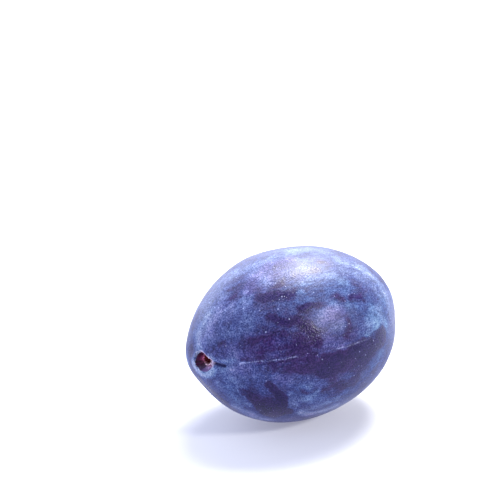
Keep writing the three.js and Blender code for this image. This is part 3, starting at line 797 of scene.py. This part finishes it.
def plum_skin():
    """Plum skin: a taut, dark purple cuticle under a bloom of fine wax grains. The bare cuticle
    looks deep and a little glossy; the bloom scatters pale blue light, looks matt and shines
    along the fruit's outline."""
    material, node = new_material("plum_skin_with_bloom")
    rubbed_and_painted_shade, thick_and_painted_highlight, halo, ruddy_and_painted_light, azure, cork, from_seam, seam_side, seam_shows, slot, cut_edge = (
        node("Attribute", output="Fac", attribute_name=name)
        for name in ("rubbed_and_painted_shade", "thick_and_painted_highlight", "halo", "ruddy_and_painted_light", "azure", "cork", "from_seam",
                     "seam_side", "seam_shows", "slot", "cut_edge")
    )
    place = node("TexCoord", output="Object")
    mm = node("VectorMath", {0: place, "Scale": 1 / MM}, operation="SCALE")
    combed = node("VectorMath", {0: mm, 1: STREAKS_ALONG}, operation="MULTIPLY")
    lengthwise = node("VectorMath", {0: mm, 1: BRUSHED_ALONG}, operation="MULTIPLY")
    patches = node("TexNoise", {"Vector": mm, "Scale": 1 / PATCH, "Detail": 3})
    streaks = node("TexNoise", {"Vector": combed, "Scale": 1 / STREAK, "Detail": 4,
                                "Roughness": 0.6, "Distortion": 0.6})
    brushed = node("TexNoise", {"Vector": lengthwise, "Scale": 1 / BRUSHED, "Detail": 2})
    grain = node("TexNoise", {"Vector": mm, "Scale": 1 / GRAIN, "Detail": 1})

    # How thick the bloom lies, with the painted highlight and shade of some marks
    fray = node("Math", {0: streaks, 1: FRAY, 2: -FRAY / 2}, operation="MULTIPLY_ADD")
    worn_and_painted_shade = node("Math", {0: rubbed_and_painted_shade, 1: fray})
    worn_and_painted_shade = node("MapRange", {"Value": worn_and_painted_shade, 1: 0.1, 2: 0.9}, interpolation_type="SMOOTHSTEP")
    bloom = node("MapRange", {"Value": patches, **MOST_NOISE, **PATCH_BLOOM})
    for layer, amount in (
        (streaks, STREAK_BLOOM), (brushed, BRUSHED_BLOOM),
        (thick_and_painted_highlight, THICK_AND_PAINTED_HIGHLIGHT_BLOOM), (halo, HALO_BLOOM), (worn_and_painted_shade, WORN_AND_PAINTED_SHADE_BLOOM),
    ):
        bloom = node("Math", {0: layer, 1: amount, 2: bloom}, operation="MULTIPLY_ADD")
    bloom = node("Clamp", {"Value": bloom})

    # Its colour, made uneven by the patterns
    colour = node("ValToRGB", {"Fac": bloom})
    shades = colour.node.color_ramp.elements
    for position in list(BLOOM_SHADES)[1:-1]:
        shades.new(position)
    for shade, hex_colour in zip(shades, BLOOM_SHADES.values()):
        shade.color = linear(hex_colour)
    ruddy_and_painted_light = node("MapRange", {"Value": patches, 1: 0.25, 2: 0.6, 3: 0.0, 4: ruddy_and_painted_light})
    depth = node("MapRange", {"Value": streaks, 1: 0.25, 2: 0.75, 3: 0.8, 4: 1.21})
    lines = node("MapRange", {"Value": brushed, **MOST_NOISE, 3: 0.88, 4: 1.12})
    speckle = node("MapRange", {"Value": grain, **MOST_NOISE})
    speckle = node("Mix", {0: speckle, 6: GAP_TINT, 7: GRAIN_TINT}, **COLOURS)
    for share, tint in (
        (ruddy_and_painted_light, RUDDY_AND_PAINTED_LIGHT_TINT),
        (azure, AZURE_TINT),
        (1.0, node("Math", {0: depth, 1: lines}, operation="MULTIPLY")),
        (1.0, speckle),
    ):
        colour = node("Mix", {0: share, 6: colour, 7: tint}, blend_type="MULTIPLY",
                      **COLOURS)
    most_frost = node("MapRange", {"Value": bloom, 3: 0.04, 4: 0.26})
    frost = node("MapRange", {"Value": grain, 1: 0.42, 2: 0.75, 3: 0.0, 4: most_frost})

    # Lenticels, the pale breathing pores of the skin: a dot in some cells, of random size
    pores = node("TexVoronoi", {"Vector": mm, "Scale": 1 / PORE_SPACING})
    pore_size = node("SeparateColor", {0: pores.node.outputs["Color"]})
    pore_size = node("MapRange", {"Value": pore_size, 1: 0.3, 2: 1.0, 3: 0.0, 4: 0.2})
    pores = node("MapRange", {"Value": pores, 2: pore_size, 3: 1.0, 4: 0.0})
    flecks = node("TexVoronoi", {"Vector": mm, "Scale": 1 / FLECK_SPACING})
    fleck_size = node("MapRange", {"Value": cork, 3: 0.0, 4: 0.4})
    flecks = node("MapRange", {"Value": flecks, 2: fleck_size, 3: 1.0, 4: 0.0})
    pale = node("Math", {0: pores, 1: flecks}, use_clamp=True)

    # Seam: a wandering, broken line of pale cork flecks, or painted shade that darkens its crease and
    # the slot
    wandering = node("Math", {0: streaks, 1: from_seam})
    on_seam = node("Math", {0: wandering, 1: 0.5, 2: SEAM_LINE_HALF_WIDTH}, operation="COMPARE")
    seam_line = node("Math", {0: on_seam, 1: seam_side}, operation="MULTIPLY")
    seam_line = node("Math", {0: seam_line, 1: seam_shows}, operation="MULTIPLY")
    broken = node("MapRange", {"Value": streaks, 1: 0.35, 2: 0.6})
    dotted = node("MapRange", {"Value": grain, 1: 0.35, 2: 0.55, 3: 0.2, 4: 1.2})
    broken = node("Math", {0: broken, 1: dotted}, operation="MULTIPLY")
    cork_line = node("Math", {0: seam_line, 1: broken}, operation="MULTIPLY", use_clamp=True)
    pale = node("Math", {0: cork_line, 1: SEAM_CORK, 2: pale}, operation="MULTIPLY_ADD",
                use_clamp=True)
    # Painted shade: the slot, and the seam where it shows as a crease (-), are coloured dark
    painted_crease_shade = node("MapRange", {"Value": slot, 1: 0.2, 2: 0.6})
    painted_crease_shade = node("Math", {0: painted_crease_shade, 1: seam_line}, operation="SUBTRACT", use_clamp=True)

    for share, shade in (
        (frost, FROST), (pale, CORK_SHADE), (painted_crease_shade, CREASE_PAINTED_SHADE), (cut_edge, CUT_EDGE_SHADE),
    ):
        colour = node("Mix", {0: share, 6: colour, 7: linear(shade)}, **COLOURS)

    smooth = node("MapRange", {"Value": worn_and_painted_shade, 3: 0.31, 4: 0.14})
    relief = node("Math", {0: pale, 1: 0.7, 2: grain}, operation="MULTIPLY_ADD")
    surface = node("BsdfPrincipled", {
        "Base Color": colour,
        "Roughness": node("Math", {0: streaks, 1: 0.3, 2: smooth}, operation="MULTIPLY_ADD"),
        "IOR": 1.38,
        "Specular Tint": linear("#ecf0ff"),
        "Sheen Weight": 0.2,
        "Sheen Roughness": 0.35,
        "Sheen Tint": linear("#dce6ff"),
        "Normal": node("Bump", {"Height": relief, "Distance": SKIN_RELIEF * MM}),
    })
    node("OutputMaterial", {"Surface": surface})
    return material


def torn_flesh():
    """Torn plum flesh that has begun to dry: a dark wine-red wall, a ring of pale fibres where the
    stalk tore away, and a brown-red pit. It looks moist and a little translucent. The ring and the
    wall are painted paler on the side that faces the light, as painted highlight, and darker on the
    other side, as painted shade."""
    material, node = new_material("torn_flesh")
    radius, painted_lit_fibre_side, strands, cut_edge = (
        node("Attribute", output="Fac", attribute_name=name)
        for name in ("socket_radius", "painted_lit_fibre_side", "fibres", "cut_edge")
    )
    place = node("TexCoord", output="Object")
    mm = node("VectorMath", {0: place, "Scale": 1 / MM}, operation="SCALE")
    grain = node("TexNoise", {"Vector": mm, "Scale": 1 / FLESH_GRAIN, "Detail": 4})
    wobble = node("Math", {0: grain, 1: FLESH_WOBBLE, 2: radius}, operation="MULTIPLY_ADD")
    share = node("Math", {0: wobble, 1: FLESH_REACH}, operation="DIVIDE")
    painted_lit_side = node("ValToRGB", {"Fac": share})
    painted_shaded_side = node("ValToRGB", {"Fac": share})
    for side, shades in ((painted_lit_side, PAINTED_LIT_FIBRE_SHADES), (painted_shaded_side, PAINTED_SHADED_FIBRE_SHADES)):
        bands = side.node.color_ramp.elements
        for position in FLESH_BANDS[1:-1]:
            bands.new(position)
        bands[-1].position = FLESH_BANDS[-1]
        for band, shade in zip(bands, shades):
            band.color = linear(shade)
    colour = node("Mix", {0: painted_lit_fibre_side, 6: painted_shaded_side, 7: painted_lit_side}, **COLOURS)
    strands = node("MapRange", {"Value": strands, 1: -0.35, 2: 0.35, 3: 0.35, 4: 1.5})
    colour = node("Mix", {0: 1.0, 6: colour, 7: strands}, blend_type="MULTIPLY", **COLOURS)
    colour = node("Mix", {0: cut_edge, 6: colour, 7: linear(CUT_EDGE_SHADE)}, **COLOURS)
    surface = node("BsdfPrincipled", {"Base Color": colour, "Roughness": 0.42, "IOR": 1.4})
    node("OutputMaterial", {"Surface": surface})
    return material


def lit_acrylic():
    """The white acrylic of a light table, faintly lit from below, so that shadows on it stay pale,
    and lit more strongly away from the fruit, so that it ends in plain white. To everything but
    the camera it is grey felt, which throws less light back on the fruit."""
    material, node = new_material("lit_white_acrylic")
    place = node("TexCoord", output="Object")
    from_fruit = node("VectorMath", {0: place}, output="Value", operation="LENGTH")
    matt = {"Roughness": 0.9, "Specular IOR Level": 0.2}
    acrylic = node("BsdfPrincipled", {
        "Base Color": linear("#b2b2b6"),
        "Emission Color": linear("#e8e8ff"),
        "Emission Strength": node("MapRange", {"Value": from_fruit, **FLOOR_GLOW}),
        **matt,
    })
    felt = node("BsdfPrincipled", {
        "Base Color": linear("#7c8092"),
        "Emission Color": linear("#d9d6ff"),
        "Emission Strength": 0.6,
        **matt,
    })
    to_camera = node("LightPath", output="Is Camera Ray")
    node("OutputMaterial", {"Surface": node("MixShader", {0: to_camera, 1: felt, 2: acrylic})})
    return material


# -------------------- floor, light and camera

CAMERA_AZIMUTH = math.radians(-42)
CAMERA_ELEVATION = math.radians(17)
CAMERA_DISTANCE = 0.4
CAMERA_LENS = 135
PLUM_RIGHT = 10.0  # where the fruit's middle is from the middle of the picture
PLUM_BELOW = 18.3

MIDDLE = Vector((0, 0, REST_HEIGHT * MM))
RIGHT = Vector((math.cos(CAMERA_AZIMUTH), math.sin(CAMERA_AZIMUTH), 0))
AWAY = Vector((-math.sin(CAMERA_AZIMUTH), math.cos(CAMERA_AZIMUTH), 0))
UP = Vector((0, 0, 1))

# Softboxes: how far right, away and up of the fruit they lie, as the camera sees it, their
# distance, width and depth in metres, and their power
SOFTBOXES = {
    "overhead_softbox": ((0.18, 0.46, 0.87), 0.5, 0.3, 0.18, 5.5),
    "overhead_centre": ((0.24, 0.47, 0.84), 0.5, 0.14, 0.08, 2.3),
    "back_softbox": ((-0.1, 0.95, 0.32), 0.6, 1.3, 0.25, 3.4),
    "side_softbox": ((0.76, -0.39, 0.48), 0.6, 0.1, 0.1, 3.4),
}
SOFTBOX_COLOUR = "#f6f6f2"

# The room is brightest high on the camera's left and almost dark on the other side
ROOM_COLOUR = "#d0dcfa"
BRIGHT_SIDE = UP * 0.4 - RIGHT * 0.9
ROOM_LIGHT = {1: -0.2, 2: 1.0, 3: 0.05, 4: 2.3}


def add_camera():
    back = math.sin(CAMERA_ELEVATION) * UP - math.cos(CAMERA_ELEVATION) * AWAY
    upright = math.cos(CAMERA_ELEVATION) * UP + math.sin(CAMERA_ELEVATION) * AWAY
    aim = MIDDLE - RIGHT * PLUM_RIGHT * MM + upright * PLUM_BELOW * MM
    camera = bpy.data.objects.new("camera", bpy.data.cameras.new("camera"))
    camera.data.lens = CAMERA_LENS
    camera.data.clip_start = 0.01
    camera.location = aim + back * CAMERA_DISTANCE
    camera.rotation_euler = (-back).to_track_quat("-Z", "Y").to_euler()
    bpy.context.collection.objects.link(camera)
    bpy.context.scene.camera = camera


def add_softbox(name, direction, distance, width, depth, power):
    """An oblong area light, placed in this direction from the fruit and turned to face it."""
    lamp = bpy.data.lights.new(name, "AREA")
    lamp.shape = "RECTANGLE"
    lamp.size = width
    lamp.size_y = depth
    lamp.energy = power
    lamp.color = linear(SOFTBOX_COLOUR)[:3]
    right, away, up = direction
    outward = (RIGHT * right + AWAY * away + UP * up).normalized()
    across = (RIGHT - outward * RIGHT.dot(outward)).normalized()
    box = bpy.data.objects.new(name, lamp)
    box.location = MIDDLE + outward * distance
    box.rotation_euler = Matrix((across, outward.cross(across), outward)).transposed().to_euler()
    box.visible_camera = False
    bpy.context.collection.objects.link(box)


def add_room():
    world = bpy.data.worlds.new("white_studio")
    world.use_nodes = True
    world.node_tree.nodes.clear()
    node = partial(add_node, world.node_tree)
    white = node("Background", {"Color": (1, 1, 1, 1), "Strength": 1.0})
    direction = node("TexCoord", output="Generated")
    share = node("VectorMath", {0: direction, 1: tuple(BRIGHT_SIDE)}, output="Value",
                 operation="DOT_PRODUCT")
    strength = node("MapRange", {"Value": share, **ROOM_LIGHT})
    lighting = node("Background", {"Color": linear(ROOM_COLOUR), "Strength": strength})
    to_camera = node("LightPath", output="Is Camera Ray")
    node("OutputWorld", {"Surface": node("MixShader", {0: to_camera, 1: lighting, 2: white})})
    bpy.context.scene.world = world
    bpy.context.scene.view_settings.view_transform = "Standard"


def add_floor():
    corners = [(x, y, 0) for x, y in ((-1, -1), (1, -1), (1, 1), (-1, 1))]
    mesh = bpy.data.meshes.new("floor")
    mesh.from_pydata([Vector(corner) * FLOOR_HALF for corner in corners], [], [(0, 1, 2, 3)])
    mesh.materials.append(lit_acrylic())
    floor = bpy.data.objects.new("floor", mesh)
    bpy.context.collection.objects.link(floor)


add_camera()
make_plum()
add_floor()
add_room()
for softbox, settings in SOFTBOXES.items():
    add_softbox(softbox, *settings)
